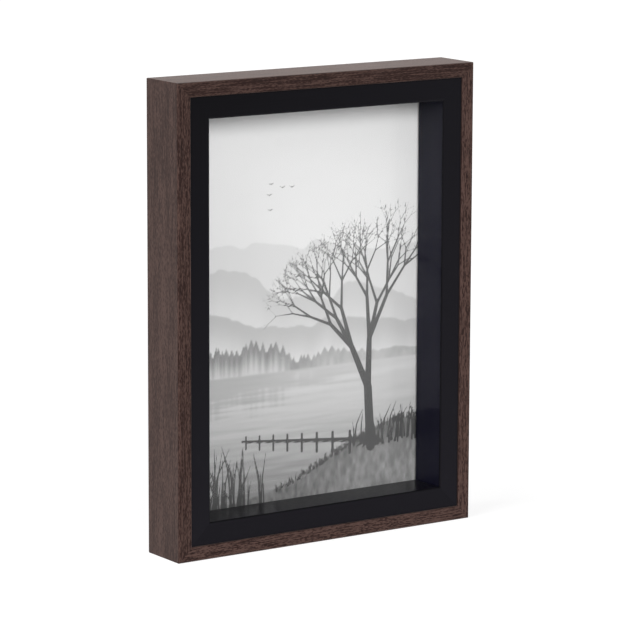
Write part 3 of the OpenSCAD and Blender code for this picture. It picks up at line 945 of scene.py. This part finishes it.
def pressed_button(sizes):
    """Surface of a turn button round its screw: x towards its tip, z across, y up from the wood.

    Each ring is the outline drawn in towards the rib's line by some distance; the rings
    climb over the rib, run flat to the rim, turn round the rim's two rolled edges and end
    on the flat underside.
    """
    outline = button_outline(sizes.button_head, sizes.button_tip, sizes.button_reach)
    t, rib, roll = sizes.button_t, sizes.button_rib, 0.22 * MM
    line = np.column_stack((np.clip(outline[:, 0], 4.6 * MM, 8.4 * MM), np.zeros(len(outline))))
    spoke = outline - line
    length = np.linalg.norm(spoke, axis=1, keepdims=True)
    spoke = spoke / length
    rings = []
    for away in np.linspace(0.2, 1.15, 7) * MM:
        rise = 1 - smooth(0.35 * MM, 1.05 * MM, away)
        rings.append((line + spoke * away, t + rib * rise))
    for turn in np.radians(np.linspace(90, -90, 9)):
        middle = t - roll if turn > 0 else roll
        inset = roll * (1 - math.cos(turn))
        rings.append((line + spoke * (length - inset), middle + roll * math.sin(turn)))
    points = np.concatenate([np.column_stack((flat[:, 0], np.full(len(flat), up), flat[:, 1]))
                             for flat, up in rings])
    return points, capped_faces(len(rings), len(outline))


class PICTURE_FRAME_OT_boards(bpy.types.Operator):
    """Finish the card, the back panel and the easel strut"""

    bl_idname = "picture_frame.boards"
    bl_label = "Card, Back Panel and Strut"

    def execute(self, context):
        sizes = context.scene.picture_frame.back
        dress(grey_card(sizes), "backing_card")
        dress(faced_board("panel_board", PANEL_LOW, PANEL_HIGH, sizes), "back_panel")
        dress(faced_board("strut_board", STRUT_LOW, STRUT_HIGH, sizes), "easel_strut")
        return {"FINISHED"}


class PICTURE_FRAME_OT_turn_buttons(bpy.types.Operator):
    """Press the four turn buttons and finish their screws"""

    bl_idname = "picture_frame.turn_buttons"
    bl_label = "Turn Buttons and Screws"

    def execute(self, context):
        sizes = context.scene.picture_frame.back
        finish = plated_steel("zinc_buttons", sizes.zinc, 900, 0.34)
        points, faces = pressed_button(sizes)
        anchors = {joint["name"]: joint["pos_m"] for joint in frame["joints"]}
        for corner in CORNERS:
            node = f"turn_button_{corner}"
            x, _, z = anchors[f"{node}_spin"]
            turn = np.array((-math.copysign(1, x), 1, -math.copysign(1, x)))
            placed = points * turn + (x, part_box(node)[0][1], z)
            button = make_piece(f"button_{corner}", placed, faces, node, finish)
            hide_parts(node)
        dress(plated_steel("brass_screws", sizes.brass, 700, 0.30),
              "turn_button_screws", "hanger_nails")
        return {"FINISHED"}


class PICTURE_FRAME_OT_hangers(bpy.types.Operator):
    """Finish the sawtooth hangers and the corner wedges"""

    bl_idname = "picture_frame.hangers"
    bl_label = "Hangers and Corner Wedges"

    def execute(self, context):
        sizes = context.scene.picture_frame.back
        dress(plated_steel("zinc_across", sizes.zinc, (120, 1800, 2600), 0.36),
              "hanger_portrait", "corner_wedges")
        dress(plated_steel("zinc_upright", sizes.zinc, (2600, 1800, 120), 0.36),
              "hanger_landscape")
        return {"FINISHED"}


class PICTURE_FRAME_OT_hinge(bpy.types.Operator):
    """Finish the strut's hinge and its rivets"""

    bl_idname = "picture_frame.hinge"
    bl_label = "Strut Hinge"

    def execute(self, context):
        sizes = context.scene.picture_frame.back
        dress(plated_steel("nickel_hinge", sizes.nickel, (1200, 1200, 40), 0.36),
              "hinge_leaf_fixed", "hinge_leaf_strut", "hinge_pin", "panel_rivets", "strut_rivets")
        return {"FINISHED"}


# ---------- stage ----------

VIEW_CENTRE = Vector((-0.00366, -0.01099, 0.09631))
# Azimuth, elevation and width of each lamp's patch of sky, in degrees
KEY_SKY = (-82, 32, 44)
FRONT_SKY = (-18, 18.5, 24)
FLOOR_GLOW = 0.83
FLOOR_POINTS = 9
FLOOR_GAP = 0.01 * MM
WHITE = (1.0, 1.0, 1.0)


def seen_directly(finish):
    """1 for the camera's rays, mirrored or refracted ones too, and 0 once a matt face scatters them."""
    camera, glossy, through, scattered = finish.light_path(
        "Is Camera Ray", "Is Glossy Ray", "Is Transmission Ray", "Diffuse Depth")
    return (camera.greatest(glossy).greatest(through) - scattered).greatest(0.0)


def pale_floor():
    """Pale floor that looks white where it is lit and keeps the shadow of what stands on it."""
    finish = Finish("pale_floor")
    mottle = finish.noise(finish.where(), 30, 2.0, 0.5, 1.0)
    plain = finish.add("ShaderNodeBsdfDiffuse", sockets={"Color": (0.80, 0.80, 0.80)})
    shaded = finish.add("ShaderNodeBsdfDiffuse", sockets={
        "Color": finish.blend(mottle, (0.29, 0.29, 0.29), (0.31, 0.31, 0.31))})
    glow = finish.add("ShaderNodeEmission", sockets={"Color": WHITE, "Strength": FLOOR_GLOW})
    white = finish.add("ShaderNodeAddShader", sockets={0: shaded, 1: glow})
    return finish.output(finish.add(
        "ShaderNodeMixShader", sockets={0: seen_directly(finish), 1: plain, 2: white}))


def studio_air(strength):
    """White surroundings where they are seen, and an even light of the given strength elsewhere."""
    finish = Finish("studio_air", bpy.data.worlds.new("studio_air"))
    even = finish.add("ShaderNodeBackground", sockets={"Color": WHITE, "Strength": strength})
    white = finish.add("ShaderNodeBackground", sockets={"Color": WHITE, "Strength": 1.0})
    return finish.output(finish.add(
        "ShaderNodeMixShader", sockets={0: seen_directly(finish), 1: even, 2: white}),
        "ShaderNodeOutputWorld")


def soft_lamp(name, level, azimuth, elevation, spread):
    """Even light from a round patch of sky; level 1 alone shows a matt face that meets it as painted."""
    lamp = bpy.data.lights.new(name, "SUN")
    lamp.energy, lamp.angle = level * math.pi, math.radians(spread)
    a, e = math.radians(azimuth), math.radians(elevation)
    towards = Vector((math.sin(a) * math.cos(e), -math.cos(a) * math.cos(e), math.sin(e)))
    holder = bpy.data.objects.new(name, lamp)
    holder.location = towards * 3
    holder.rotation_euler = towards.to_track_quat("Z", "Y").to_euler()
    bpy.context.scene.collection.objects.link(holder)


def aimed_camera(settings, target):
    """Camera whose axis passes through the target, from an azimuth and an elevation, rolled a little."""
    a, e, r = settings.azimuth, settings.elevation, settings.roll
    back = Vector((-math.sin(a) * math.cos(e), -math.cos(a) * math.cos(e), math.sin(e)))
    level = Vector((math.cos(a), -math.sin(a), 0))
    upright = back.cross(level)
    right = math.cos(r) * level - math.sin(r) * upright
    turned = Matrix((right, back.cross(right), back)).transposed().to_4x4()
    camera = bpy.data.cameras.new("camera")
    camera.lens, camera.sensor_width = settings.focal, 36.0
    camera.clip_start, camera.clip_end = 0.05, 50.0
    holder = bpy.data.objects.new("camera", camera)
    holder.matrix_world = Matrix.Translation(target + back * settings.distance) @ turned
    bpy.context.scene.collection.objects.link(holder)
    bpy.context.scene.camera = holder


class PICTURE_FRAME_OT_stage(bpy.types.Operator):
    """Set the pale floor, the soft lamps and the camera"""

    bl_idname = "picture_frame.stage"
    bl_label = "Floor, Lamps and Camera"

    def execute(self, context):
        settings = context.scene.picture_frame.stage
        half = settings.floor_size / 2
        line = np.linspace(-half, half, FLOOR_POINTS)
        x, y = np.meshgrid(line, line)
        points = np.column_stack((x.ravel(), y.ravel(), np.full(x.size, cad_box[0][2] - FLOOR_GAP)))
        mesh = bpy.data.meshes.new("floor")
        faces = grid_faces(FLOOR_POINTS, FLOOR_POINTS, closed=False)
        mesh.from_pydata(points.tolist(), [], faces.tolist())
        mesh.materials.append(pale_floor())
        floor = bpy.data.objects.new("floor", mesh)
        context.scene.collection.objects.link(floor)
        context.scene.world = studio_air(settings.daylight)
        context.scene.view_settings.view_transform = "Standard"
        soft_lamp("key_lamp", settings.key, *KEY_SKY)
        soft_lamp("front_lamp", settings.fill, *FRONT_SKY)
        aimed_camera(settings, VIEW_CENTRE)
        return {"FINISHED"}


class PICTURE_FRAME_PT_sidebar(bpy.types.Panel):
    """Settings of the picture frame and the steps that make it"""

    bl_idname = "PICTURE_FRAME_PT_sidebar"
    bl_label = "Picture Frame"
    bl_space_type = "VIEW_3D"
    bl_region_type = "UI"
    bl_category = "Picture Frame"

    def draw(self, context):
        settings = context.scene.picture_frame
        for group in (settings.moulding, settings.picture, settings.back, settings.stage):
            box = self.layout.box()
            for name in group.__annotations__:
                box.prop(group, name)
        for step in STEPS:
            self.layout.operator(step.bl_idname)


STEPS = (
    PICTURE_FRAME_OT_rails,
    PICTURE_FRAME_OT_slips,
    PICTURE_FRAME_OT_picture,
    PICTURE_FRAME_OT_boards,
    PICTURE_FRAME_OT_turn_buttons,
    PICTURE_FRAME_OT_hangers,
    PICTURE_FRAME_OT_hinge,
    PICTURE_FRAME_OT_stage,
)
CLASSES = (
    MouldingSettings, PictureSettings, BackSettings, StageSettings, PictureFrameSettings,
    *STEPS, PICTURE_FRAME_PT_sidebar,
)


def register():
    for kind in CLASSES:
        bpy.utils.register_class(kind)
    bpy.types.Scene.picture_frame = bpy.props.PointerProperty(type=PictureFrameSettings)


def unregister():
    del bpy.types.Scene.picture_frame
    for kind in reversed(CLASSES):
        bpy.utils.unregister_class(kind)


def main():
    register()
    for step in STEPS:
        getattr(bpy.ops.picture_frame, step.bl_idname.split(".")[1])()


if __name__ == "__main__":
    main()
